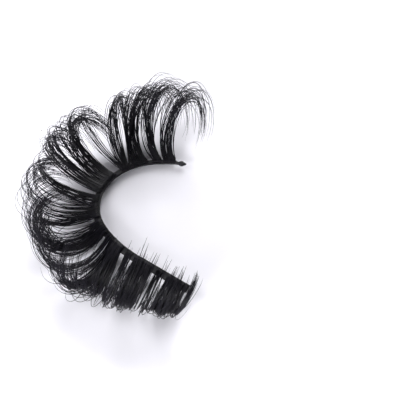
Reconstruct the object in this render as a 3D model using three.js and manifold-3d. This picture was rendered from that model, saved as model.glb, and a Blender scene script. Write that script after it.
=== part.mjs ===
// Strip false eyelash lying on a table: a thin band bent into an open C, with fans of curled hair along it.
// Millimetres, +Z up. The C opens towards +X, and the band runs from its far tip (+Y) to its near end (-Y).
import * as THREE from 'three';
import { mergeVertices } from 'three/addons/utils/BufferGeometryUtils.js';
import Module from 'manifold-3d';

const wasm = await Module();
wasm.setup();

const { degToRad, lerp } = THREE.MathUtils;

// The band's middle line: arcs from the far tip, each with its turn and the slope of its end in degrees
const FAR_TIP = { x: -1.7, y: 5.55, z: 0.5, heading: 174.5, slope: 14 };
const BAND_ARCS = [
  { length: 3.8, turn: 9.5, rise: 0, slope: 14 },
  { length: 14.1, turn: 113, rise: 0.25, slope: 17 },
  { length: 7.4, turn: 25, rise: 0.6, slope: 26 },
  { length: 7.1, turn: 0, rise: 0.15, slope: 26 },
];
const BAND_LENGTH = BAND_ARCS.reduce((sum, arc) => sum + arc.length, 0);

// The ribbon by distance from the far tip: the knot, its neck, then the ribbon out to its squared end
const BAND_SECTIONS = [
  { at: 0, inner: -0.06, outer: 0.06, thick: 0.12 },
  { at: 0.5, inner: -0.28, outer: 0.42, thick: 0.42 },
  { at: 0.7, inner: -0.26, outer: 0.4, thick: 0.4 },
  { at: 1.0, inner: -0.08, outer: 0.34, thick: 0.24 },
  { at: 1.5, inner: 0, outer: 0.8, thick: 0.28 },
  { at: BAND_LENGTH, inner: 0, outer: 1.05, thick: 0.28 },
];
const BAND_STEP = 0.75;
const BAND_CHAMFER = { ofWidth: 0.12, ofThickness: 0.3 };

// The strip of glued roots under each fan lies on the band and stands a little past its outer edge
const ROOTS = { inner: 0.3, outer: 1.2, thick: 0.22, gap: 0.06, margin: 0.22, step: 0.6 };

// Fans from the far end: place of the first and last lock on the band, their lean along it and the roll of
// their curl out of upright, then dip at the root, turn of the curl, share that comes late, and length
const FANS = [
  { at: [1.35, 3.0], locks: 4, lean: [24, 4], roll: [-38, -36], dip: 18, turn: 250, late: 0.2, long: 17.8 },
  { at: [3.75, 4.85], locks: 3, lean: [4, -6], roll: [-22, -20], dip: 18, turn: 280, late: 0.45, long: 19.6 },
  { at: [5.55, 6.85], locks: 3, lean: [-4, -10], roll: [-20, -18], dip: 18, turn: 280, late: 0.45, long: 18.6 },
  { at: [7.5, 8.6], locks: 3, lean: [-13, -14], roll: [-18, -16], dip: 18, turn: 280, late: 0.45, long: 18.6 },
  { at: [9.6, 11.4], locks: 4, lean: [-13, -9], roll: [-20, -15], dip: 16, turn: 285, late: 0.5, long: 18.6 },
  { at: [12.1, 13.3], locks: 3, lean: [-11, -8], roll: [-9, -5], dip: 12, turn: 280, late: 0.5, long: 19.6 },
  { at: [14.0, 15.6], locks: 4, lean: [-6, 1], roll: [-4, 0], dip: 15, turn: 285, late: 0.6, long: 19.8 },
  { at: [16.4, 18.6], locks: 4, lean: [2, 5], roll: [0, 5], dip: 18, turn: 290, late: 0.75, long: 21 },
  { at: [19.4, 21.2], locks: 4, lean: [4, 6], roll: [4, 7], dip: 22, turn: 295, late: 0.8, long: 20.6 },
  { at: [22.0, 23.3], locks: 3, lean: [6, 8], roll: [7, 8], dip: 25, turn: 295, late: 0.8, long: 20.4 },
  { at: [24.1, 27.0], locks: 5, lean: [10, 16], roll: [8, 10], dip: 29, turn: 290, late: 0.75, long: 19 },
  { at: [27.9, 30.3], locks: 4, lean: [14, 22], roll: [11, 16], dip: 34, turn: 275, late: 0.7, long: 14.8 },
  { at: [31.1, 31.9], locks: 2, lean: [26, 28], roll: [20, 24], dip: 36, turn: 225, late: 0.6, long: 11.8 },
];

// Every lock by share of its length, and how its length differs from its neighbours'
const LOCK_SECTIONS = [
  { at: 0, wide: 0.42, thick: 0.2 },
  { at: 0.1, wide: 0.46, thick: 0.28 },
  { at: 0.4, wide: 0.72, thick: 0.36 },
  { at: 0.75, wide: 0.5, thick: 0.28 },
  { at: 1, wide: 0.12, thick: 0.1 },
];
const LOCK_OUTLINE = [[0.5, 0], [0.25, 0.5], [-0.25, 0.5], [-0.5, 0], [-0.25, -0.5], [0.25, -0.5]];
const LOCK_ROOT = 0.6;
const LOCK_STEPS = 12;
const LOCK_STAGGER = [0, 0.06, -0.04, 0.03, -0.02];

const UP = new THREE.Vector3(0, 0, 1);

// A table's values at a place between two of its rows
function sectionAt(rows, at) {
  const next = Math.max(1, rows.findIndex((row) => row.at >= at - 1e-9));
  const [a, b] = [rows[next - 1], rows[next]];
  const share = (at - a.at) / (b.at - a.at);
  return Object.fromEntries(Object.keys(a).map((key) => [key, lerp(a[key], b[key], share)]));
}

// Two directions at right angles, mixed by an angle in radians
function turned(from, towards, angle) {
  return from.clone().multiplyScalar(Math.cos(angle)).addScaledVector(towards, Math.sin(angle));
}

// The band at a distance: its point, the ways along it and level out from it, out over its sloping face, and
// the face's normal
function bandFrame(distance) {
  const point = new THREE.Vector3(FAR_TIP.x, FAR_TIP.y, FAR_TIP.z);
  let { heading, slope } = FAR_TIP;
  let left = distance;
  for (const arc of BAND_ARCS) {
    const share = Math.min(left / arc.length, 1);
    const half = degToRad(arc.turn * share) / 2;
    const chord = arc.length * share * (half > 0 ? Math.sin(half) / half : 1);
    point.x += chord * Math.cos(degToRad(heading) + half);
    point.y += chord * Math.sin(degToRad(heading) + half);
    point.z += arc.rise * share;
    heading += arc.turn * share;
    slope = lerp(slope, arc.slope, share);
    left = Math.max(0, left - arc.length);
  }
  const along = new THREE.Vector3(Math.cos(degToRad(heading)), Math.sin(degToRad(heading)), 0);
  const level = along.clone().cross(UP);
  const out = turned(level, UP, -degToRad(slope));
  return { point, along, level, out, face: out.clone().cross(along) };
}

// A closed sweep: a unit outline drawn out in steps, with each corner put in place by place(x, y, share)
function sweep(outline, steps, place) {
  const shape = new THREE.Shape(outline.map(([x, y]) => new THREE.Vector2(x, y)));
  const geometry = new THREE.ExtrudeGeometry(shape, { depth: 1, steps, bevelEnabled: false });
  geometry.deleteAttribute('normal');
  geometry.deleteAttribute('uv');
  const position = geometry.getAttribute('position');
  for (let i = 0; i < position.count; i++) {
    const corner = place(position.getX(i), position.getY(i), position.getZ(i));
    position.setXYZ(i, corner.x, corner.y, corner.z);
  }
  return mergeVertices(geometry, 1e-5);
}

function toSolid(geometry) {
  const vertProperties = Float32Array.from(geometry.getAttribute('position').array);
  const triVerts = Uint32Array.from(geometry.getIndex().array);
  return new wasm.Manifold(new wasm.Mesh({ numProp: 3, vertProperties, triVerts }));
}

function toGeometry(solid) {
  const { vertProperties, triVerts } = solid.getMesh();
  const geometry = new THREE.BufferGeometry();
  geometry.setAttribute('position', new THREE.BufferAttribute(vertProperties, 3));
  geometry.setIndex(new THREE.BufferAttribute(triVerts, 1));
  geometry.computeVertexNormals();
  return geometry;
}

// The ribbon: x runs through its thickness and y from its inner to its outer edge, with chamfered edges
function bandGeometry() {
  const edge = BAND_CHAMFER.ofWidth;
  const side = 0.5 - BAND_CHAMFER.ofThickness;
  const innerHalf = [[-0.5, edge], [-side, 0], [side, 0], [0.5, edge]];
  const outline = [...innerHalf, [0.5, 1 - edge], [side, 1], [-side, 1], [-0.5, 1 - edge]];
  const stations = BAND_SECTIONS.slice(0, -1).map((row) => row.at);
  const ribbonStart = stations[stations.length - 1];
  const evenSteps = Math.round((BAND_LENGTH - ribbonStart) / BAND_STEP);
  for (let i = 1; i <= evenSteps; i++) stations.push(lerp(ribbonStart, BAND_LENGTH, i / evenSteps));
  const steps = stations.length - 1;
  return sweep(outline, steps, (x, y, share) => {
    const at = stations[Math.round(share * steps)];
    const { inner, outer, thick } = sectionAt(BAND_SECTIONS, at);
    const { point, out, face } = bandFrame(at);
    return point.addScaledVector(face, x * thick).addScaledVector(out, lerp(inner, outer, y));
  });
}

// Height of the roots' middle above the band's middle
function rootLift(at) {
  return sectionAt(BAND_SECTIONS, at).thick / 2 + ROOTS.gap + ROOTS.thick / 2;
}

function rootsGeometry(fan) {
  const from = fan.at[0] - ROOTS.margin;
  const to = fan.at[1] + ROOTS.margin;
  const steps = Math.ceil((to - from) / ROOTS.step);
  return sweep([[-0.5, 0], [0.5, 0], [0.5, 1], [-0.5, 1]], steps, (x, y, share) => {
    const at = lerp(from, to, share);
    const { point, out, face } = bandFrame(at);
    const lift = rootLift(at) + x * ROOTS.thick;
    return point.addScaledVector(face, lift).addScaledVector(out, lerp(ROOTS.inner, ROOTS.outer, y));
  });
}

// One flat lock along its curl, which lies in the plane of ahead and above and tightens towards the tip
function lockGeometry(fan, index) {
  const across = index / (fan.locks - 1);
  const at = lerp(...fan.at, across);
  const lean = degToRad(lerp(...fan.lean, across));
  const roll = degToRad(lerp(...fan.roll, across));
  const stride = (fan.long * (1 + LOCK_STAGGER[index])) / LOCK_STEPS;
  const { point, along, level, out, face } = bandFrame(at);
  const ahead = turned(level, along, lean);
  const above = turned(UP, turned(along, level, -lean), roll);
  const beside = above.clone().cross(ahead);
  const angleAt = (share) => degToRad(fan.turn * share * (1 - fan.late + fan.late * share) - fan.dip);
  const path = [point.addScaledVector(face, rootLift(at)).addScaledVector(out, LOCK_ROOT)];
  for (let i = 0; i < LOCK_STEPS; i++) {
    const way = turned(ahead, above, angleAt((i + 0.5) / LOCK_STEPS));
    path.push(path[i].clone().addScaledVector(way, stride));
  }
  return sweep(LOCK_OUTLINE, LOCK_STEPS, (x, y, share) => {
    const { wide, thick } = sectionAt(LOCK_SECTIONS, share);
    const inwards = turned(above, ahead, -angleAt(share));
    const corner = path[Math.round(share * LOCK_STEPS)].clone();
    return corner.addScaledVector(beside, x * wide).addScaledVector(inwards, y * thick);
  });
}

// The locks of a fan fused to its strip of roots
function fanGeometry(fan) {
  let solid = toSolid(rootsGeometry(fan));
  for (let index = 0; index < fan.locks; index++) solid = solid.add(toSolid(lockGeometry(fan, index)));
  return toGeometry(solid);
}

function piece(name, geometry, material) {
  const mesh = new THREE.Mesh(geometry, material);
  mesh.name = name;
  return mesh;
}

const bandBlack = new THREE.MeshStandardMaterial({ color: 0x17161b, roughness: 0.55, metalness: 0 });
const hairBlack = new THREE.MeshStandardMaterial({ color: 0x0e0d12, roughness: 0.4, metalness: 0 });

const lash = new THREE.Group();
lash.add(piece('band', bandGeometry(), bandBlack));
FANS.forEach((fan, index) => {
  lash.add(piece(`lash_fan_${String(index + 1).padStart(2, '0')}`, fanGeometry(fan), hairBlack));
});

// The origin is the middle of the outline, on the table
const box = new THREE.Box3().setFromObject(lash);
const middle = box.getCenter(new THREE.Vector3());
lash.position.set(-middle.x, -middle.y, -box.min.z);

export default lash;
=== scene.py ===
"""Strip false eyelash lying on a table: a glue band bent into an open C, carrying fans of curled hair."""
import logging
import math
from dataclasses import dataclass, field, fields
from enum import Enum
from typing import Callable

import bmesh
import bpy
import numpy as np
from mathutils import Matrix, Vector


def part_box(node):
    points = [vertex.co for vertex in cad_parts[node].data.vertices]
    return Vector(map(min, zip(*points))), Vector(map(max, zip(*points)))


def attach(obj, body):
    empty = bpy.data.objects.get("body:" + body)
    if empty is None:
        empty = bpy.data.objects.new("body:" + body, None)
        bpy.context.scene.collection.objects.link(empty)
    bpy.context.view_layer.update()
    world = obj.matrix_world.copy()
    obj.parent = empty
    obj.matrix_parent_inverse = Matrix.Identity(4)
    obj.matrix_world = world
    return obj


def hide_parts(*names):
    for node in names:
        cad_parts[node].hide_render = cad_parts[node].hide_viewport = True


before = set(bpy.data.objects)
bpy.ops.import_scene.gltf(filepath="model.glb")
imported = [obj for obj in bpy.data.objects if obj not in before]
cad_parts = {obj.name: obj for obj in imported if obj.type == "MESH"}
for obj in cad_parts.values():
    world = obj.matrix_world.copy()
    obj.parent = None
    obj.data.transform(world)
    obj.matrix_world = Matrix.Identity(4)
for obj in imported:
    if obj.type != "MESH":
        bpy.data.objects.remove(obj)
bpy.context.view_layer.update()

ROOT_BODY = "root"
MM = 0.001
UP = np.array([0.0, 0.0, 1.0])
LOG = logging.getLogger("strip_lash")

Array = np.ndarray
Span = tuple[float, float]
Colour = tuple[float, float, float]


class Slot(Enum):
    """The record's material slots."""

    BAND = "band"
    HAIR = "hair"


class HairKind(Enum):
    """How a hair sits in its lock: in a tuft, between tufts, astray, back over the band or in a loop."""

    TUFT = "tuft"
    FILL = "fill"
    STRAY = "stray"
    REACH = "reach"
    LOOP = "loop"


def turned(start: Array, towards: Array, angle: Array) -> Array:
    """Mixes two directions at right angles.

    Args:
        start: Directions at angle 0, in the last axis.
        towards: Directions at a quarter turn.
        angle: Angle in radians, without the last axis.

    Returns:
        The directions at that angle.
    """
    return start * np.cos(angle)[..., None] + towards * np.sin(angle)[..., None]


def between(span: Span, share: Array) -> Array:
    """Value at a share of the way through a span."""
    return span[0] + (span[1] - span[0]) * share


@dataclass(frozen=True)
class Arc:
    """One arc of the band's middle line, in millimetres and degrees, with the ribbon's slope at its end."""

    length: float
    turn: float
    rise: float
    slope: float


@dataclass(frozen=True)
class BandFrame:
    """Points on the band's middle line and the directions there, a row for each distance.

    Attributes:
        point: The point.
        along: Along the line, towards the near end.
        level: Level, away from the inside of the C.
        out: Across the ribbon, away from the inside of the C and down its slope.
        face: Out of the ribbon's upper face.
    """

    point: Array
    along: Array
    level: Array
    out: Array
    face: Array


@dataclass(frozen=True)
class BandLine:
    """The band's middle line from its far tip to its near end, in the drawing's own millimetres."""

    tip: tuple[float, float, float] = (-1.7, 5.55, 0.5)
    heading: float = 174.5
    slope: float = 14.0
    arcs: tuple[Arc, ...] = (
        Arc(length=3.8, turn=9.5, rise=0.0, slope=14.0),
        Arc(length=14.1, turn=113.0, rise=0.25, slope=17.0),
        Arc(length=7.4, turn=25.0, rise=0.6, slope=26.0),
        Arc(length=7.1, turn=0.0, rise=0.15, slope=26.0),
    )

    @property
    def length(self) -> float:
        """Length along the line."""
        return sum(arc.length for arc in self.arcs)

    def at(self, distance: Array) -> BandFrame:
        """Follows the arcs to each distance.

        Args:
            distance: Distances from the far tip.

        Returns:
            The points and directions there.
        """
        left = np.asarray(distance, dtype=float)
        x, y, z = (np.full_like(left, value) for value in self.tip)
        heading = np.full_like(left, self.heading)
        slope = np.full_like(left, self.slope)
        for arc in self.arcs:
            share = np.clip(left / arc.length, 0.0, 1.0)
            half = np.radians(arc.turn * share) / 2
            chord = arc.length * share * np.sinc(half / np.pi)
            x = x + chord * np.cos(np.radians(heading) + half)
            y = y + chord * np.sin(np.radians(heading) + half)
            z = z + arc.rise * share
            heading = heading + arc.turn * share
            slope = slope + (arc.slope - slope) * share
            left = np.maximum(left - arc.length, 0.0)
        heading = np.radians(heading)
        along = np.stack([np.cos(heading), np.sin(heading), np.zeros_like(heading)], axis=-1)
        level = np.cross(along, UP)
        out = turned(level, np.broadcast_to(UP, level.shape), -np.radians(slope))
        return BandFrame(np.stack([x, y, z], axis=-1), along, level, out, np.cross(out, along))


@dataclass(frozen=True)
class Ribbon:
    """The band's section by distance from its far tip: the knot, its neck, then the plain ribbon."""

    at: tuple[float, ...] = (0.0, 0.5, 0.7, 1.0, 1.5, 32.4)
    inner: tuple[float, ...] = (-0.06, -0.28, -0.26, -0.08, 0.0, 0.0)
    outer: tuple[float, ...] = (0.06, 0.42, 0.40, 0.34, 0.80, 1.05)
    thick: tuple[float, ...] = (0.12, 0.42, 0.40, 0.24, 0.28, 0.28)

    def section(self, distance: Array) -> tuple[Array, Array, Array]:
        """Inner edge, outer edge and thickness at each distance."""
        return tuple(np.interp(distance, self.at, row) for row in (self.inner, self.outer, self.thick))


LINE = BandLine()
RIBBON = Ribbon()


def drawing_offset(samples: int = 400, chamfer_width: float = 0.12, chamfer_side: float = 0.2) -> Array:
    """Finds where the drawing's zero lies in the frame, from the band's own box there.

    Args:
        samples: Stations along the band.
        chamfer_width: Share of the width that the solid band's chamfer takes.
        chamfer_side: Half of the flat edge's share of the thickness.

    Returns:
        The offset in millimetres.
    """
    distance = np.linspace(0.0, LINE.length, samples)
    frames = LINE.at(distance)
    inner, outer, thick = RIBBON.section(distance)
    edges = ((0.0, chamfer_side), (1.0, chamfer_side))
    shoulders = ((chamfer_width, 0.5), (1 - chamfer_width, 0.5))
    low = np.full(3, np.inf)
    high = np.full(3, -np.inf)
    for across, through in edges + shoulders:
        for side in (-through, through):
            reach = inner + (outer - inner) * across
            corner = frames.point + frames.out * reach[:, None] + frames.face * (side * thick)[:, None]
            low = np.minimum(low, corner.min(axis=0))
            high = np.maximum(high, corner.max(axis=0))
    cad_low, cad_high = (np.array(corner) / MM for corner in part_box("band"))
    return (cad_low + cad_high - low - high) / 2


OFFSET = drawing_offset()


def to_frame(points: Array) -> Array:
    """Takes points from the drawing's millimetres to the frame's metres."""
    return (points + OFFSET) * MM


@dataclass(frozen=True)
class Paint:
    """A node material being made: its tree and its Principled shader."""

    material: bpy.types.Material
    tree: bpy.types.NodeTree
    shader: bpy.types.Node

    @classmethod
    def named(cls, name: str, specular: float) -> "Paint":
        """Starts a material.

        Args:
            name: Name of the material.
            specular: Strength of its plain reflection.

        Returns:
            The material with its tree and shader.
        """
        material = bpy.data.materials.new(name)
        material.use_nodes = True
        shader = material.node_tree.nodes["Principled BSDF"]
        shader.inputs["Specular IOR Level"].default_value = specular
        return cls(material, material.node_tree, shader)

    def join(self, source: bpy.types.NodeSocket, target: bpy.types.NodeSocket) -> None:
        """Joins two sockets."""
        self.tree.links.new(source, target)

    def noise(self, scale: float, detail: float) -> bpy.types.NodeSocket:
        """Adds a noise in the piece's own space.

        Args:
            scale: Lumps in a metre.
            detail: Finer layers of noise.

        Returns:
            The noise's value.
        """
        place = self.tree.nodes.new("ShaderNodeTexCoord")
        noise = self.tree.nodes.new("ShaderNodeTexNoise")
        noise.inputs["Scale"].default_value = scale
        noise.inputs["Detail"].default_value = detail
        self.join(place.outputs["Object"], noise.inputs["Vector"])
        return noise.outputs["Fac"]

    def tint(
        self, value: bpy.types.NodeSocket, dark: Colour, pale: Colour, stops: Span = (0.0, 1.0)
    ) -> None:
        """Colours the shader from dark to pale by a value.

        Args:
            value: The value that chooses the colour.
            dark: Colour up to the first stop.
            pale: Colour from the second stop on.
            stops: The two stops.
        """
        ramp = self.tree.nodes.new("ShaderNodeValToRGB")
        for element, stop, colour in zip(ramp.color_ramp.elements, stops, (dark, pale)):
            element.position = stop
            element.color = (*colour, 1.0)
        self.join(value, ramp.inputs["Fac"])
        self.join(ramp.outputs["Color"], self.shader.inputs["Base Color"])

    def roughen(self, value: bpy.types.NodeSocket, span: Span) -> None:
        """Spreads the shader's roughness by a value.

        Args:
            value: The value, from 0 to 1.
            span: Roughness at 0 and at 1.
        """
        rough = self.tree.nodes.new("ShaderNodeMapRange")
        rough.inputs["To Min"].default_value = span[0]
        rough.inputs["To Max"].default_value = span[1]
        self.join(value, rough.inputs["Value"])
        self.join(rough.outputs["Result"], self.shader.inputs["Roughness"])

    def bump(self, value: bpy.types.NodeSocket, strength: float, distance: float) -> None:
        """Bumps the shader's surface by a value.

        Args:
            value: The value that gives the height.
            strength: Share of the bump that shows.
            distance: Height of the bumps in metres.
        """
        bump = self.tree.nodes.new("ShaderNodeBump")
        bump.inputs["Strength"].default_value = strength
        bump.inputs["Distance"].default_value = distance
        self.join(value, bump.inputs["Height"])
        self.join(bump.outputs["Normal"], self.shader.inputs["Normal"])


@dataclass(frozen=True)
class HairFinish:
    """Satin black synthetic hair with a faint violet cast, a little different from hair to hair."""

    dark: Colour = (0.0014, 0.0012, 0.0028)
    pale: Colour = (0.0078, 0.007, 0.0125)
    roughness: Span = (0.36, 0.52)
    specular: float = 0.2
    grain_per_m: float = 5200.0
    grain_detail: float = 2.0
    shade_name: str = "strand"

    def material(self) -> bpy.types.Material:
        """Builds the node material.

        Returns:
            The material.
        """
        paint = Paint.named("satin_black_hair", self.specular)
        strand = paint.tree.nodes.new("ShaderNodeAttribute")
        strand.attribute_name = self.shade_name
        paint.tint(strand.outputs["Fac"], self.dark, self.pale)
        paint.roughen(paint.noise(self.grain_per_m, self.grain_detail), self.roughness)
        return paint.material


@dataclass(frozen=True)
class BandFinish:
    """Black thread ribbon under a thin film of dried adhesive, satin and uneven."""

    dark: Colour = (0.003, 0.0028, 0.004)
    pale: Colour = (0.012, 0.011, 0.0155)
    stops: Span = (0.35, 0.7)
    roughness: Span = (0.38, 0.62)
    specular: float = 0.25
    weave_per_m: float = 7000.0
    weave_detail: float = 3.0
    film_per_m: float = 900.0
    film_detail: float = 4.0
    bump_strength: float = 0.6
    bump_m: float = 0.00002

    def material(self) -> bpy.types.Material:
        """Builds the node material.

        Returns:
            The material.
        """
        paint = Paint.named("black_glue_band", self.specular)
        weave = paint.noise(self.weave_per_m, self.weave_detail)
        paint.tint(weave, self.dark, self.pale, self.stops)
        paint.bump(weave, self.bump_strength, self.bump_m)
        paint.roughen(paint.noise(self.film_per_m, self.film_detail), self.roughness)
        return paint.material


@dataclass(frozen=True)
class TableFinish:
    """Smooth white table top."""

    colour: Colour = (0.905, 0.895, 0.96)
    roughness: float = 0.65
    specular: float = 0.2

    def material(self) -> bpy.types.Material:
        """Builds the node material.

        Returns:
            The material.
        """
        paint = Paint.named("white_table", self.specular)
        paint.shader.inputs["Base Color"].default_value = (*self.colour, 1.0)
        paint.shader.inputs["Roughness"].default_value = self.roughness
        return paint.material


@dataclass(frozen=True)
class Lock:
    """A stretch of hair along the band. Its spans run from its far hair to its near hair.

    Attributes:
        at: Where its roots begin and end, in millimetres from the band's far tip.
        lean: Turn of the hairs towards the near end, in degrees.
        roll: Tilt of the curl's plane towards the near end, in degrees.
        dip: Angle below level at which the hairs leave the band, in degrees.
        turn: Angle through which a whole hair curls, in degrees.
        late: Share of the curl that gathers towards the tip.
        long: Length of a whole hair, in millimetres.
        tufts: Count of tufts.
        hairs: Count of hairs, apart from those that reach back or loop.
        cut: Share of the whole hair after which hairs end.
        vary: Length of the tufts against the lock's.
        loose: How far tufts stray from the lock, against the fan's measure.
        free: How far hairs stray from their tuft, against their kind's habit.
        fine: Thickness against the fan's measure.
        reach: Count of hairs that reach back over the band.
        loops: Count of hairs that curl in loose loops.
    """

    at: Span
    lean: Span
    roll: Span
    dip: float
    turn: float
    late: float
    long: Span
    tufts: int
    hairs: int
    cut: Span = (0.82, 0.97)
    vary: Span = (0.94, 1.02)
    loose: float = 1.0
    free: float = 1.0
    fine: float = 1.0
    reach: int = 0
    loops: int = 0


FANS: tuple[tuple[Lock, ...], ...] = (
    (
        Lock(
            at=(1.35, 2.85), lean=(14, 14), roll=(-23, -32), dip=6, turn=244, late=0.0, long=(19.9, 19.7),
            tufts=18, hairs=44, cut=(0.84, 1.02), vary=(0.93, 1.09), loose=2, free=4, fine=0.9,
        ),
        Lock(
            at=(1.40, 2.70), lean=(13, 14), roll=(-20, -28), dip=12, turn=255, late=0.05, long=(17.4, 17.4),
            tufts=8, hairs=12, loose=2.0, free=4, fine=0.6,
        ),
    ),
    (
        Lock(
            at=(3.05, 3.90), lean=(21, 21), roll=(-21, -25), dip=4, turn=267, late=0.28, long=(20.7, 20.7),
            tufts=12, hairs=28, cut=(0.72, 0.95), vary=(0.86, 1.08), loose=2.5, free=4, fine=0.9,
        ),
        Lock(
            at=(3.05, 4.00), lean=(15, 16), roll=(-22, -24), dip=10, turn=270, late=0.35, long=(20.2, 20.2),
            tufts=8, hairs=19, cut=(0.75, 0.97), vary=(0.88, 1.06), loose=2.5, free=4,
        ),
    ),
    (
        Lock(
            at=(4.80, 6.60), lean=(7, -11), roll=(-20, -14), dip=11, turn=273, late=0.34, long=(19.8, 19.8),
            tufts=20, hairs=44, cut=(0.68, 0.93), vary=(0.86, 1.05), loose=2, free=4,
        ),
        Lock(
            at=(4.10, 6.60), lean=(15, -12), roll=(-36, -16), dip=19, turn=275, late=0.47,
            long=(19.2, 19.2), tufts=10, hairs=20, cut=(0.74, 0.97), vary=(0.86, 1.05), loose=2, free=4,
        ),
    ),
    (
        Lock(
            at=(6.70, 7.75), lean=(-22, -3), roll=(5, -21), dip=5, turn=275, late=0.38, long=(19.5, 19.5),
            tufts=12, hairs=32, cut=(0.68, 0.93), vary=(0.88, 1.04), loose=1.2, free=2,
        ),
        Lock(
            at=(6.70, 7.75), lean=(-23, -8), roll=(8, -13), dip=15, turn=281, late=0.43, long=(18.4, 18.4),
            tufts=8, hairs=15, cut=(0.74, 0.97), vary=(0.88, 1.04), loose=1.2, free=2,
        ),
    ),
    (
        Lock(
            at=(7.50, 8.10), lean=(5, 4), roll=(12, 10), dip=11, turn=273, late=0.41, long=(19.5, 19.5),
            tufts=10, hairs=15, free=3, fine=0.75,
        ),
        Lock(
            at=(9.05, 11.0), lean=(2, -10), roll=(3, -13), dip=10, turn=272, late=0.26, long=(20.3, 20.3),
            tufts=15, hairs=40, vary=(0.88, 1.03), loose=1.5, free=3,
        ),
        Lock(
            at=(9.05, 10.9), lean=(0, -12), roll=(9, 10), dip=14, turn=273, late=0.42, long=(20.0, 20.0),
            tufts=10, hairs=26, vary=(0.88, 1.03), free=3,
        ),
    ),
    (
        Lock(
            at=(11.0, 12.5), lean=(-12, -18), roll=(14, 16), dip=11, turn=273, late=0.59, long=(19.9, 19.9),
            tufts=9, hairs=29, vary=(0.88, 1.03), loose=1.5, free=3,
        ),
        Lock(
            at=(11.0, 12.3), lean=(-9, -14), roll=(12, 11), dip=13, turn=275, late=0.50, long=(19.3, 19.3),
            tufts=8, hairs=19, vary=(0.88, 1.03), free=2.5,
        ),
    ),
    (
        Lock(
            at=(12.9, 14.7), lean=(-6, -26), roll=(20, 17), dip=14, turn=278, late=0.47, long=(19.3, 19.3),
            tufts=10, hairs=25, vary=(0.88, 1.03), loose=1.5, free=3,
        ),
        Lock(
            at=(12.9, 14.6), lean=(-5, -12), roll=(4, 6), dip=15, turn=281, late=0.60, long=(18.8, 18.8),
            tufts=8, hairs=14, vary=(0.86, 1.02), free=2.5,
        ),
        Lock(
            at=(14.9, 16.3), lean=(18, -2), roll=(15, 5), dip=26, turn=287, late=0.59, long=(18.8, 18.8),
            tufts=8, hairs=19, vary=(0.84, 1.03), loose=1.5, free=3,
        ),
        Lock(
            at=(14.7, 16.3), lean=(-10, -11), roll=(-7, 0), dip=18, turn=285, late=0.70, long=(18.9, 18.9),
            tufts=8, hairs=20, vary=(0.86, 1.02), free=2.5,
        ),
        Lock(
            at=(14.2, 16.3), lean=(0, -3), roll=(5, 0), dip=16, turn=283, late=0.60, long=(21.8, 21.8),
            tufts=14, hairs=17, vary=(0.93, 1.05), loose=1.5, free=3, fine=0.7,
        ),
    ),
    (
        Lock(
            at=(16.8, 19.0), lean=(7, -1), roll=(-11, -45), dip=29, turn=291, late=0.51, long=(19.5, 19.5),
            tufts=14, hairs=28, cut=(0.62, 0.90), vary=(0.74, 1.03), loose=2, free=4, fine=0.85,
        ),
        Lock(
            at=(16.8, 19.0), lean=(-4, 13), roll=(-12, -37), dip=21, turn=291, late=0.62, long=(19.4, 20.8),
            tufts=14, hairs=30, cut=(0.62, 0.92), vary=(0.74, 1.06), loose=2, free=4, fine=0.85,
        ),
        Lock(
            at=(17.8, 19.1), lean=(6, 1), roll=(-26, -42), dip=29, turn=290, late=0.51, long=(19.8, 20.4),
            tufts=12, hairs=46, cut=(0.58, 0.84), vary=(0.82, 1.04), loose=1.5, free=3,
        ),
        Lock(
            at=(16.9, 18.6), lean=(4, 11), roll=(-5, -18), dip=18, turn=286, late=0.60, long=(22.4, 22.4),
            tufts=11, hairs=17, vary=(0.93, 1.05), loose=1.5, free=3, fine=0.7,
        ),
    ),
    (
        Lock(
            at=(19.4, 19.7), lean=(11, 13), roll=(-40, -37), dip=25, turn=285, late=0.62, long=(20.3, 20.5),
            tufts=3, hairs=9, cut=(0.65, 0.9), loose=2, free=4,
        ),
        Lock(
            at=(19.5, 20.6), lean=(14, 16), roll=(-35, -36), dip=23, turn=281, late=0.67, long=(20.7, 20.7),
            tufts=7, hairs=30, cut=(0.65, 0.9),
        ),
        Lock(
            at=(20.7, 21.6), lean=(16, 19), roll=(-12, -8), dip=24, turn=265, late=0.75, long=(20.9, 20.9),
            tufts=8, hairs=64, cut=(0.62, 0.88), vary=(0.90, 1.03), reach=2, loops=8,
        ),
    ),
    (
        Lock(
            at=(22.9, 23.9), lean=(28, 22), roll=(17, 17), dip=32, turn=221, late=0.37, long=(20.7, 20.1),
            tufts=4, hairs=8, cut=(0.66, 0.86), loose=0.6, free=2, reach=5, loops=3,
        ),
        Lock(
            at=(21.3, 22.3), lean=(20, 34), roll=(-5, 16), dip=28, turn=245, late=0.55, long=(21.0, 20.9),
            tufts=8, hairs=66, cut=(0.64, 0.85), vary=(0.90, 1.03), reach=4, loops=9,
        ),
    ),
    (
        Lock(
            at=(24.4, 27.0), lean=(24, 16), roll=(17, 16), dip=33, turn=227, late=0.25, long=(20.4, 17.4),
            tufts=20, hairs=150, cut=(0.66, 0.86), vary=(0.90, 1.04), loose=1.5, free=3, reach=17, loops=24,
        ),
    ),
    (
        Lock(
            at=(27.7, 28.4), lean=(20, 20), roll=(16, 18), dip=34, turn=220, late=0.20, long=(17.6, 17.0),
            tufts=3, hairs=8, cut=(0.66, 0.86), loose=1.5, free=3, reach=3, loops=5,
        ),
        Lock(
            at=(29.4, 31.1), lean=(18, 24), roll=(22, 14), dip=34, turn=217, late=0.13, long=(15.7, 12.9),
            tufts=14, hairs=104, cut=(0.66, 0.86), vary=(0.90, 1.05), loose=1.5, free=3, reach=22, loops=18,
        ),
    ),
    (
        Lock(
            at=(31.3, 32.2), lean=(26, 20), roll=(26, 22), dip=30, turn=228, late=0.21, long=(12.8, 12.6),
            tufts=9, hairs=62, cut=(0.8, 1.0), loose=0.5, reach=4,
        ),
    ),
)


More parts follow.
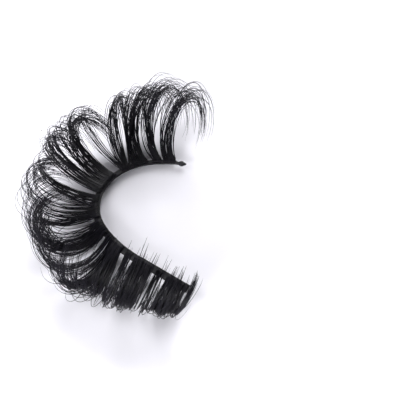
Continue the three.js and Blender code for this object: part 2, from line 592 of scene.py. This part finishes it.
@dataclass(frozen=True)
class Slit:
    """A stretch of the band without roots, in millimetres from the far tip.

    Attributes:
        start: Its far edge.
        end: Its near edge.
        push: Lean of the hairs beside it, in degrees, away from it or, where negative, over it.
    """

    start: float
    end: float
    push: float = 0.0


SLITS = (
    Slit(start=2.85, end=3.05, push=1.0),
    Slit(start=4.05, end=4.7),
    Slit(start=6.6, end=6.7, push=1.0),
    Slit(start=6.9, end=6.96, push=4.0),
    Slit(start=16.3, end=16.8),
    Slit(start=19.1, end=19.5, push=1.0),
    Slit(start=20.05, end=20.2, push=1.0),
    Slit(start=22.25, end=22.85, push=-1.0),
    Slit(start=23.9, end=24.45, push=-1.0),
    Slit(start=27.0, end=27.6, push=-1.0),
    Slit(start=28.5, end=29.4, push=-1.0),
    Slit(start=31.15, end=31.5, push=1.0),
    Slit(start=31.7, end=31.95, push=1.0),
)
# Distance from a slit, in millimetres, at which its push has fallen to about a third.
PUSH_FADE = 0.3


def clear_of_slits(at: Array) -> Array:
    """Moves roots out of the slits to the slits' nearer edges.

    Args:
        at: The roots' distances from the far tip.

    Returns:
        The distances, none within a slit.
    """
    for slit in SLITS:
        inside = (at > slit.start) & (at < slit.end)
        edge = np.where(at < (slit.start + slit.end) / 2, slit.start, slit.end)
        at = np.where(inside, edge, at)
    return at


def lean_from_slits(at: Array) -> Array:
    """Finds the lean that the slits give to the hairs beside them, which fades with the distance.

    Args:
        at: The roots' distances from the far tip, outside the slits.

    Returns:
        The lean in degrees.
    """
    lean = np.zeros_like(at)
    for slit in SLITS:
        offset = at - (slit.start + slit.end) / 2
        beyond = np.maximum(np.abs(offset) - (slit.end - slit.start) / 2, 0.0)
        lean = lean + slit.push * np.sign(offset) * np.exp(-beyond / PUSH_FADE)
    return lean


@dataclass(frozen=True)
class Habit:
    """How far the hairs of one kind stray from their lock's form, and their share, length and fineness."""

    share: float
    place: float
    lean: float
    roll: float
    dip: float
    turn: float
    long: Span
    fine: float


HABITS = {
    HairKind.TUFT: Habit(
        share=0.88, place=0.03, lean=0.3, roll=0.6, dip=0.5, turn=2.0, long=(0.97, 1.02), fine=1.0
    ),
    HairKind.FILL: Habit(
        share=0.06, place=0.0, lean=1.5, roll=5.0, dip=2.0, turn=9.0, long=(0.9, 1.05), fine=0.8
    ),
    HairKind.STRAY: Habit(
        share=0.06, place=0.0, lean=3.0, roll=6.0, dip=3.0, turn=12.0, long=(1.0, 1.07), fine=0.5
    ),
    HairKind.REACH: Habit(
        share=0.0, place=0.0, lean=2.5, roll=3.0, dip=2.0, turn=6.0, long=(0.97, 1.09), fine=1.6
    ),
    HairKind.LOOP: Habit(
        share=0.0, place=0.0, lean=4.0, roll=12.0, dip=4.0, turn=10.0, long=(1.0, 1.1), fine=0.95
    ),
}
# Hairs that reach back are kept nearly whole, whatever their lock's cut.
REACH_CUT: Span = (0.9, 1.0)


@dataclass(frozen=True)
class Seats:
    """Where hairs sit in their lock, and what their tufts add to its form, as columns."""

    share: Array
    lean: Array
    roll: Array
    turn: Array
    long: Array


@dataclass(frozen=True)
class Hairs:
    """Hairs as columns: place on the band, set of the curl, length, thickness and share that is kept."""

    at: Array
    lean: Array
    roll: Array
    dip: Array
    turn: Array
    late: Array
    long: Array
    fine: Array
    cut: Array

    @classmethod
    def joined(cls, parts: list["Hairs"]) -> "Hairs":
        """Puts the columns of several sets of hairs end to end."""
        names = [column.name for column in fields(cls)]
        return cls(**{name: np.concatenate([getattr(part, name) for part in parts]) for name in names})

    def angle(self, share: Array) -> Array:
        """Finds how steeply each hair runs along its curl.

        Args:
            share: Shares of its kept length.

        Returns:
            Its angles above level in radians, a row for each hair.
        """
        run = share * self.cut[:, None]
        late = self.late[:, None]
        return np.radians(self.turn[:, None] * run * (1 - late + late * run) - self.dip[:, None])


@dataclass
class HairFan:
    """One fan of single curled hairs that takes the place of the fan's solid, in millimetres and degrees.

    Attributes:
        number: Number of the fan from the far end.
        locks: Its locks.
        root_width: Thickness of a hair along most of its length.
        tip_width: Thickness before the point.
        taper: Power by which the thickness falls towards the tip.
        root_swell: Added thickness where the root sits in its glue.
        swell_fade: Share of the length in which the swell fades.
        point: Length of the pointed end against the last step.
        steps: Steps along the curl.
        sides: Sides of a hair's section.
        root_start: Range of the roots across the band.
        root_bend: Distance across the band at which the curl begins.
        root_lift: Range of that start's height above the band's middle.
        root_sink: How much lower the root itself lies.
        margin: How far roots may lie beyond the lock's ends.
        scatter: Range of loose hairs over the lock's width.
        tuft_shift: How far tufts lie off an even row, in tufts.
        tuft_roll: How far tufts stray in roll.
        tuft_lean: How far tufts stray in lean.
        tuft_turn: How far tufts stray in turn.
        furthest: Limit of all straying against its usual width.
        late_stray: How far hairs stray in lateness.
        latest: Limit of lateness.
        fineness: Range of thickness from hair to hair.
        drift: Sideways drift of the tips against the length.
        seed: Seed of the random numbers, to which the fan's number is added.
        table_gap: Clearance from the table.
        rng: The fan's own random numbers.
    """

    number: int
    locks: tuple[Lock, ...]
    root_width: float = 0.092
    tip_width: float = 0.02
    taper: float = 5.0
    root_swell: float = 0.09
    swell_fade: float = 0.13
    point: float = 0.2
    steps: int = 22
    sides: int = 3
    root_start: Span = (0.06, 0.30)
    root_bend: float = 0.6
    root_lift: Span = (0.17, 0.40)
    root_sink: float = 0.03
    margin: float = 0.2
    scatter: Span = (-0.05, 1.05)
    tuft_shift: float = 0.35
    tuft_roll: float = 1.8
    tuft_lean: float = 1.0
    tuft_turn: float = 4.0
    furthest: float = 2.5
    late_stray: float = 0.02
    latest: float = 0.95
    fineness: Span = (0.8, 1.1)
    drift: float = 0.012
    seed: int = 4100
    table_gap: float = 0.02
    rng: np.random.Generator = field(init=False)

    def __post_init__(self) -> None:
        """Seeds this fan's own random numbers."""
        self.rng = np.random.default_rng(self.seed + self.number)

    @property
    def node(self) -> str:
        """Name of the CAD node that the fan stands for."""
        return f"lash_fan_{self.number:02d}"

    def spread(self, width: float, count: int) -> Array:
        """Draws values around zero, with a limit to how many widths they lie out."""
        return np.clip(self.rng.normal(0.0, 1.0, count), -self.furthest, self.furthest) * width

    def in_tufts(self, lock: Lock, place: float, count: int) -> Seats:
        """Draws a lock's tufts and deals its hairs out to them.

        Args:
            lock: The lock.
            place: How far hairs lie from their tuft's middle, in millimetres.
            count: Count of hairs.

        Returns:
            The hairs' seats.
        """
        tufts = lock.tufts
        shift = self.rng.uniform(-self.tuft_shift, self.tuft_shift, tufts)
        middle = (np.arange(tufts) + 0.5 + shift) / tufts
        roll = self.spread(self.tuft_roll * lock.loose, tufts)
        lean = self.spread(self.tuft_lean * lock.loose, tufts)
        turn = self.spread(self.tuft_turn * lock.loose, tufts)
        long = self.rng.uniform(*lock.vary, tufts)
        member = np.arange(count) % tufts
        share = middle[member] + self.spread(place / (lock.at[1] - lock.at[0]), count)
        return Seats(share, lean[member], roll[member], turn[member], long[member])

    def scattered(self, count: int) -> Seats:
        """Draws seats for hairs that belong to no tuft."""
        none = np.zeros(count)
        return Seats(self.rng.uniform(*self.scatter, count), none, none, none, np.ones(count))

    def hairs_of(self, lock: Lock, kind: HairKind) -> Hairs:
        """Draws all the hairs of one kind in a lock.

        Args:
            lock: The lock.
            kind: How the hairs sit in the lock.

        Returns:
            Their columns.
        """
        habit = HABITS[kind]
        counts = {HairKind.REACH: lock.reach, HairKind.LOOP: lock.loops}
        count = counts.get(kind, round(lock.hairs * habit.share))
        gathered = kind is HairKind.TUFT
        seats = self.in_tufts(lock, habit.place, count) if gathered else self.scattered(count)
        free = lock.free if gathered else 1.0
        cut = REACH_CUT if kind is HairKind.REACH else lock.cut
        width = lock.at[1] - lock.at[0]
        edge = self.margin / width
        at = clear_of_slits(between(lock.at, np.clip(seats.share, -edge, 1.0 + edge)))
        share = (at - lock.at[0]) / width
        lean = between(lock.lean, share) + lean_from_slits(at) + seats.lean
        return Hairs(
            at=at,
            lean=lean + self.spread(habit.lean * free, count),
            roll=between(lock.roll, share) + seats.roll + self.spread(habit.roll * free, count),
            dip=lock.dip + self.spread(habit.dip, count),
            turn=lock.turn + seats.turn + self.spread(habit.turn * free, count),
            late=np.clip(lock.late + self.spread(self.late_stray, count), 0.0, self.latest),
            long=between(lock.long, share) * seats.long * self.rng.uniform(*habit.long, count),
            fine=lock.fine * habit.fine * self.rng.uniform(*self.fineness, count),
            cut=self.rng.uniform(*cut, count),
        )

    def paths(self, hairs: Hairs) -> tuple[Array, Array, Array]:
        """Runs every hair from its root on the band's face out along its curl.

        Args:
            hairs: The hairs' columns.

        Returns:
            Points of each hair, and the two directions across it at each point.
        """
        count = len(hairs.at)
        band = LINE.at(hairs.at)
        lean = np.radians(hairs.lean)
        roll = np.radians(hairs.roll)
        ahead = turned(band.level, band.along, lean)
        above = turned(np.broadcast_to(UP, ahead.shape), turned(band.along, band.level, -lean), roll)
        beside = np.cross(above, ahead)
        lift = self.rng.uniform(*self.root_lift, count)
        start = self.rng.uniform(*self.root_start, count)
        bend = band.point + band.out * self.root_bend + band.face * lift[:, None]
        root = band.point + band.out * start[:, None] + band.face * (lift - self.root_sink)[:, None]
        share = np.linspace(0.0, 1.0, self.steps + 1)
        middle = (share[:-1] + share[1:]) / 2
        way = turned(ahead[:, None], above[:, None], hairs.angle(middle))
        strides = way * (hairs.long * hairs.cut / self.steps)[:, None, None]
        curl = np.concatenate([bend[:, None], bend[:, None] + np.cumsum(strides, axis=1)], axis=1)
        sway = self.spread(self.drift, count)[:, None] * share**2 * hairs.long[:, None]
        curl = curl + beside[:, None] * sway[..., None]
        points = np.concatenate([root[:, None], curl], axis=1)
        inwards = turned(above[:, None], ahead[:, None], -hairs.angle(share))
        inwards = np.concatenate([inwards[:, :1], inwards], axis=1)
        sideways = np.broadcast_to(beside[:, None], points.shape)
        floor = self.table_gap + self.root_width / 2 - OFFSET[2]
        points[..., 2] = np.maximum(points[..., 2], floor)
        return points, sideways, inwards

    def build(self) -> bpy.types.Object:
        """Models all hairs as one mesh of tapering tubes.

        Returns:
            The fan's object.
        """
        hairs = Hairs.joined([self.hairs_of(lock, kind) for lock in self.locks for kind in HairKind])
        points, sideways, inwards = self.paths(hairs)
        count, rings, _ = points.shape
        along = np.linspace(0.0, 1.0, rings)
        taper = self.root_width + (self.tip_width - self.root_width) * along**self.taper
        taper = taper + self.root_swell * np.exp(-along / self.swell_fade)
        radius = hairs.fine[:, None] * taper / 2
        turn = np.arange(self.sides) * 2 * np.pi / self.sides
        ring = sideways[:, :, None] * np.cos(turn)[:, None] + inwards[:, :, None] * np.sin(turn)[:, None]
        corners = points[:, :, None] + ring * radius[:, :, None, None]
        tips = points[:, -1] + (points[:, -1] - points[:, -2]) * self.point
        vertices = np.concatenate([to_frame(corners.reshape(-1, 3)), to_frame(tips)])
        mesh = bpy.data.meshes.new(f"hair_fan_{self.number:02d}")
        mesh.from_pydata(vertices.tolist(), [], self.tube_faces(count, rings))
        shade = self.rng.uniform(0.0, 1.0, count)
        self.keep_shade(mesh, np.concatenate([np.repeat(shade, rings * self.sides), shade]))
        mesh.shade_smooth()
        mesh.update()
        piece = bpy.data.objects.new(mesh.name, mesh)
        bpy.context.scene.collection.objects.link(piece)
        return piece

    def tube_faces(self, count: int, rings: int) -> list[list[int]]:
        """Numbers the corners of all tubes' faces: walls, root caps and pointed tips.

        Args:
            count: Count of hairs.
            rings: Count of rings in a hair.

        Returns:
            The corner numbers of each face.
        """
        sides = self.sides
        first = np.arange(count)[:, None, None] * rings * sides
        row = np.arange(rings - 1)[None, :, None] * sides
        here = np.arange(sides)[None, None, :]
        after = (here + 1) % sides
        base = first + row
        walls = np.stack([base + here, base + after, base + sides + after, base + sides + here], axis=-1)
        caps = first[:, 0] + np.arange(sides)[::-1]
        last = first[:, 0] + (rings - 1) * sides
        tip = (count * rings * sides + np.arange(count))[:, None]
        ends = np.stack([last + here[0], last + after[0], np.broadcast_to(tip, (count, sides))], axis=-1)
        return walls.reshape(-1, 4).tolist() + caps.tolist() + ends.reshape(-1, 3).tolist()

    @staticmethod
    def keep_shade(mesh: bpy.types.Mesh, values: Array) -> None:
        """Keeps one number for each corner under the name that the hair's finish reads."""
        attribute = mesh.attributes.new(HairFinish.shade_name, "FLOAT", "POINT")
        attribute.data.foreach_set("value", values.astype(np.float32))

    def dress(self, piece: bpy.types.Object, material: bpy.types.Material) -> None:
        """Gives the fan its finish and its place in the frame.

        Args:
            piece: The fan's object.
            material: The hair's material.
        """
        piece.data.materials.append(material)
        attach(piece, ROOT_BODY)
        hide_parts(self.node)


@dataclass
class Band:
    """The glue band: a ribbon modelled straight with its knot and square end, then bent along its line.

    Attributes:
        body_cuts: Cuts across the plain ribbon.
        knot_cuts: Cuts across the knot and neck, in millimetres from the far tip.
        edge_round: Radius of the long edges, in millimetres.
        edge_steps: Steps of that rounding.
        uneven: Height of the dried glue's lumps, in millimetres.
        uneven_scale: Size of the lumps, in millimetres.
        uneven_middle: Value of the lumps' texture that leaves the surface where it is.
        guide_step: Spacing of the guide curve's points, in millimetres.
        smooth_angle: Sharpest edge that is shaded smooth, in degrees.
        lengthwise: Least share of an edge along the ribbon for it to count as lengthwise.
        end_on: Least share of a face's normal along the ribbon for it to count as an end.
        place_digits: Digits by which corners at one place are told from others.
        ring_reach: How far corners may lie from their ring's place, in millimetres.
    """

    body_cuts: int = 99
    knot_cuts: tuple[float, ...] = (0.12, 0.3, 0.5, 0.7, 0.85, 1.0, 1.25, 1.5)
    edge_round: float = 0.1
    edge_steps: int = 3
    uneven: float = 0.05
    uneven_scale: float = 0.7
    uneven_middle: float = 0.5
    guide_step: float = 0.15
    smooth_angle: float = 40.0
    lengthwise: float = 0.99
    end_on: float = 0.9
    place_digits: int = 4
    ring_reach: float = 0.0002

    def build(self) -> bpy.types.Object:
        """Models the band.

        Returns:
            The band's object, in the frame.
        """
        ribbon = self.straight()
        self.shape(ribbon)
        self.roughen(ribbon)
        self.bend(ribbon)
        bpy.ops.object.shade_smooth_by_angle(angle=math.radians(self.smooth_angle))
        return ribbon

    def straight(self) -> bpy.types.Object:
        """Models the plain ribbon along X from a cube, cut into short lengths, with rounded edges.

        Returns:
            The ribbon.
        """
        length = LINE.length * MM
        start = RIBBON.at[-2] * MM
        width = RIBBON.outer[-1] * MM
        bpy.ops.object.select_all(action="DESELECT")
        bpy.ops.mesh.primitive_cube_add(size=1.0, location=(0.0, 0.0, 0.0))
        ribbon = bpy.context.object
        ribbon.name = "band_ribbon"
        ribbon.data.name = "band_ribbon"
        bpy.ops.object.mode_set(mode="EDIT")
        bpy.ops.mesh.select_all(action="SELECT")
        bpy.ops.transform.resize(value=(length - start, width, RIBBON.thick[-1] * MM))
        bpy.ops.transform.translate(value=((length + start) / 2, -width / 2, 0.0))
        self.select_edges(ribbon, self.runs_along)
        bpy.ops.mesh.subdivide(number_cuts=self.body_cuts)
        self.select_faces(ribbon, lambda face: face.normal.x < -self.end_on)
        here = self.knot_cuts[-1]
        for place in (*self.knot_cuts[-2::-1], 0.0):
            bpy.ops.mesh.extrude_region_move(
                TRANSFORM_OT_translate={"value": ((place - here) * MM, 0.0, 0.0)}
            )
            here = place
        self.select_edges(ribbon, self.runs_along)
        bpy.ops.mesh.bevel(offset=self.edge_round * MM, segments=self.edge_steps, affect="EDGES")
        bpy.ops.mesh.select_all(action="SELECT")
        bpy.ops.mesh.normals_make_consistent(inside=False)
        bpy.ops.object.mode_set(mode="OBJECT")
        return ribbon

    def shape(self, ribbon: bpy.types.Object) -> None:
        """Narrows the far end to its neck and knot and widens the ribbon towards the near end.

        Args:
            ribbon: The straight ribbon.
        """
        full = RIBBON.outer[-1]
        thick = RIBBON.thick[-1]
        places = sorted({round(vertex.co.x / MM, self.place_digits) for vertex in ribbon.data.vertices})
        for place in places:
            inner, outer, height = (float(value) for value in RIBBON.section(place))
            self.select_ring(ribbon, place)
            bpy.ops.object.mode_set(mode="EDIT")
            bpy.ops.transform.resize(
                value=(1.0, (outer - inner) / full, height / thick), center_override=(place * MM, 0.0, 0.0)
            )
            bpy.ops.transform.translate(value=(0.0, -inner * MM, 0.0))
            bpy.ops.object.mode_set(mode="OBJECT")

    def roughen(self, ribbon: bpy.types.Object) -> None:
        """Gives the ribbon the slight unevenness of dried glue.

        Args:
            ribbon: The straight ribbon.
        """
        clouds = bpy.data.textures.new("glue_lumps", "CLOUDS")
        clouds.noise_scale = self.uneven_scale * MM
        lumps = ribbon.modifiers.new("glue_lumps", "DISPLACE")
        lumps.texture = clouds
        lumps.strength = self.uneven * MM
        lumps.mid_level = self.uneven_middle
        bpy.ops.object.modifier_apply(modifier=lumps.name)

    def bend(self, ribbon: bpy.types.Object) -> None:
        """Bends the ribbon along the band's line and turns it to the line's slope.

        Args:
            ribbon: The straight ribbon.
        """
        count = round(LINE.length / self.guide_step) + 1
        frames = LINE.at(np.linspace(0.0, LINE.length, count))
        curve = bpy.data.curves.new("band_line", "CURVE")
        curve.dimensions = "3D"
        curve.twist_mode = "Z_UP"
        spline = curve.splines.new("POLY")
        spline.points.add(count - 1)
        slopes = np.arcsin(np.clip(-frames.out[:, 2], -1.0, 1.0))
        for point, place, slope in zip(spline.points, to_frame(frames.point), slopes):
            point.co = (*place, 1.0)
            point.tilt = slope
        guide = bpy.data.objects.new("band_line", curve)
        bpy.context.scene.collection.objects.link(guide)
        follow = ribbon.modifiers.new("band_line", "CURVE")
        follow.object = guide
        follow.deform_axis = "POS_X"
        bpy.ops.object.modifier_apply(modifier=follow.name)
        bpy.data.objects.remove(guide)
        bpy.data.curves.remove(curve)

    def runs_along(self, edge: bmesh.types.BMEdge) -> bool:
        """Whether an edge runs along the ribbon."""
        way = edge.verts[1].co - edge.verts[0].co
        return abs(way.x) > self.lengthwise * way.length

    @staticmethod
    def select_edges(ribbon: bpy.types.Object, wanted: Callable[[bmesh.types.BMEdge], bool]) -> None:
        """Selects the edges that pass a test, in edit mode.

        Args:
            ribbon: The ribbon.
            wanted: The test.
        """
        bpy.ops.mesh.select_mode(type="EDGE")
        bpy.ops.mesh.select_all(action="DESELECT")
        shape = bmesh.from_edit_mesh(ribbon.data)
        for edge in shape.edges:
            edge.select_set(wanted(edge))
        bmesh.update_edit_mesh(ribbon.data)

    @staticmethod
    def select_faces(ribbon: bpy.types.Object, wanted: Callable[[bmesh.types.BMFace], bool]) -> None:
        """Selects the faces that pass a test, in edit mode.

        Args:
            ribbon: The ribbon.
            wanted: The test.
        """
        bpy.ops.mesh.select_mode(type="FACE")
        bpy.ops.mesh.select_all(action="DESELECT")
        shape = bmesh.from_edit_mesh(ribbon.data)
        shape.normal_update()
        for face in shape.faces:
            face.select_set(wanted(face))
        bmesh.update_edit_mesh(ribbon.data)

    def select_ring(self, ribbon: bpy.types.Object, place: float) -> None:
        """Selects the ring of corners at one place along the ribbon, in object mode.

        Args:
            ribbon: The straight ribbon.
            place: The ring's distance from the far tip, in millimetres.
        """
        bpy.ops.object.mode_set(mode="EDIT")
        bpy.ops.mesh.select_mode(type="VERT")
        bpy.ops.mesh.select_all(action="DESELECT")
        bpy.ops.object.mode_set(mode="OBJECT")
        for vertex in ribbon.data.vertices:
            vertex.select = abs(vertex.co.x / MM - place) < self.ring_reach

    def dress(self, ribbon: bpy.types.Object, material: bpy.types.Material) -> None:
        """Gives the band its finish and its place in the frame.

        Args:
            ribbon: The band's object.
            material: The band's material.
        """
        ribbon.data.materials.append(material)
        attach(ribbon, ROOT_BODY)
        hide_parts("band")


@dataclass(frozen=True)
class Table:
    """The white table top that the lash lies on, in metres."""

    size: float = 1.2
    finish: TableFinish = TableFinish()

    def build(self) -> None:
        """Adds the table top at the frame's zero height."""
        bpy.ops.object.select_all(action="DESELECT")
        bpy.ops.mesh.primitive_plane_add(size=self.size, location=(0.0, 0.0, 0.0))
        top = bpy.context.object
        top.name = "table_top"
        top.data.materials.append(self.finish.material())


@dataclass(frozen=True)
class SoftLight:
    """One square white area light that points at the lash, in degrees, watts and metres."""

    name: str
    azimuth: float
    elevation: float
    power: float
    distance: float = 0.55
    size: float = 0.3

    def build(self) -> None:
        """Adds the light."""
        azimuth = math.radians(self.azimuth)
        elevation = math.radians(self.elevation)
        flat = math.cos(elevation) * self.distance
        height = math.sin(elevation) * self.distance
        data = bpy.data.lights.new(self.name, "AREA")
        data.size = self.size
        data.energy = self.power
        light = bpy.data.objects.new(self.name, data)
        light.location = (flat * math.sin(azimuth), -flat * math.cos(azimuth), height)
        light.rotation_euler = (math.pi / 2 - elevation, 0.0, azimuth)
        bpy.context.scene.collection.objects.link(light)


@dataclass(frozen=True)
class Studio:
    """Soft lights behind, behind right, at the left and low in front at the left, in a dim white room."""

    room: Colour = (0.95, 0.95, 1.0)
    room_strength: float = 0.05
    lights: tuple[SoftLight, ...] = (
        SoftLight("behind", azimuth=180.0, elevation=40.0, power=2.2),
        SoftLight("behind_right", azimuth=140.0, elevation=40.0, power=1.05),
        SoftLight("left", azimuth=270.0, elevation=35.0, power=1.9),
        SoftLight("low_front_left", azimuth=-35.0, elevation=12.0, power=7.4),
    )

    def build(self) -> None:
        """Sets the room's light and adds the lights."""
        world = bpy.data.worlds.new("white_room")
        world.use_nodes = True
        background = world.node_tree.nodes["Background"]
        background.inputs["Color"].default_value = (*self.room, 1.0)
        background.inputs["Strength"].default_value = self.room_strength
        bpy.context.scene.world = world
        for light in self.lights:
            light.build()


@dataclass(frozen=True)
class PhotoCamera:
    """A long lens at the photo's angle, on the drawing's zero.

    Attributes:
        elevation: Angle above level, in degrees.
        distance: Distance from the drawing's zero, in metres.
        mm_per_pixel: Millimetres that a pixel of the picture takes in at the drawing's zero.
        picture: The picture's width and height, in pixels.
        sensor: Width of the sensor, in millimetres.
        clip_factor: How many times nearer and further than the zero the camera still sees.
    """

    elevation: float = 48.0
    distance: float = 0.300
    mm_per_pixel: float = 0.122
    picture: tuple[int, int] = (400, 401)
    sensor: float = 36.0
    clip_factor: float = 100.0

    def build(self) -> None:
        """Adds the camera and makes it the scene's."""
        elevation = math.radians(self.elevation)
        data = bpy.data.cameras.new("photo_camera")
        data.sensor_width = self.sensor
        seen_width = max(self.picture) * self.mm_per_pixel * MM
        data.lens = self.sensor * self.distance / seen_width
        data.clip_start = self.distance / self.clip_factor
        data.clip_end = self.distance * self.clip_factor
        camera = bpy.data.objects.new("photo_camera", data)
        back = np.array([0.0, -math.cos(elevation), math.sin(elevation)]) * self.distance
        camera.location = tuple(OFFSET * MM + back)
        camera.rotation_euler = (math.pi / 2 - elevation, 0.0, 0.0)
        bpy.context.scene.collection.objects.link(camera)
        bpy.context.scene.camera = camera


def main() -> None:
    """Builds the lash, its table, its light and the camera."""
    logging.basicConfig(level=logging.INFO)
    bpy.context.scene.view_settings.view_transform = "Standard"
    PhotoCamera().build()
    Studio().build()
    Table().build()
    hair = HairFinish().material()
    band = Band()
    ribbon = band.build()
    band.dress(ribbon, BandFinish().material())
    LOG.info("%s: %d faces", ribbon.name, len(ribbon.data.polygons))
    for number, locks in enumerate(FANS, start=1):
        hair_fan = HairFan(number, locks)
        piece = hair_fan.build()
        hair_fan.dress(piece, hair)
        LOG.info("%s: %d faces", piece.name, len(piece.data.polygons))


if __name__ == "__main__":
    main()
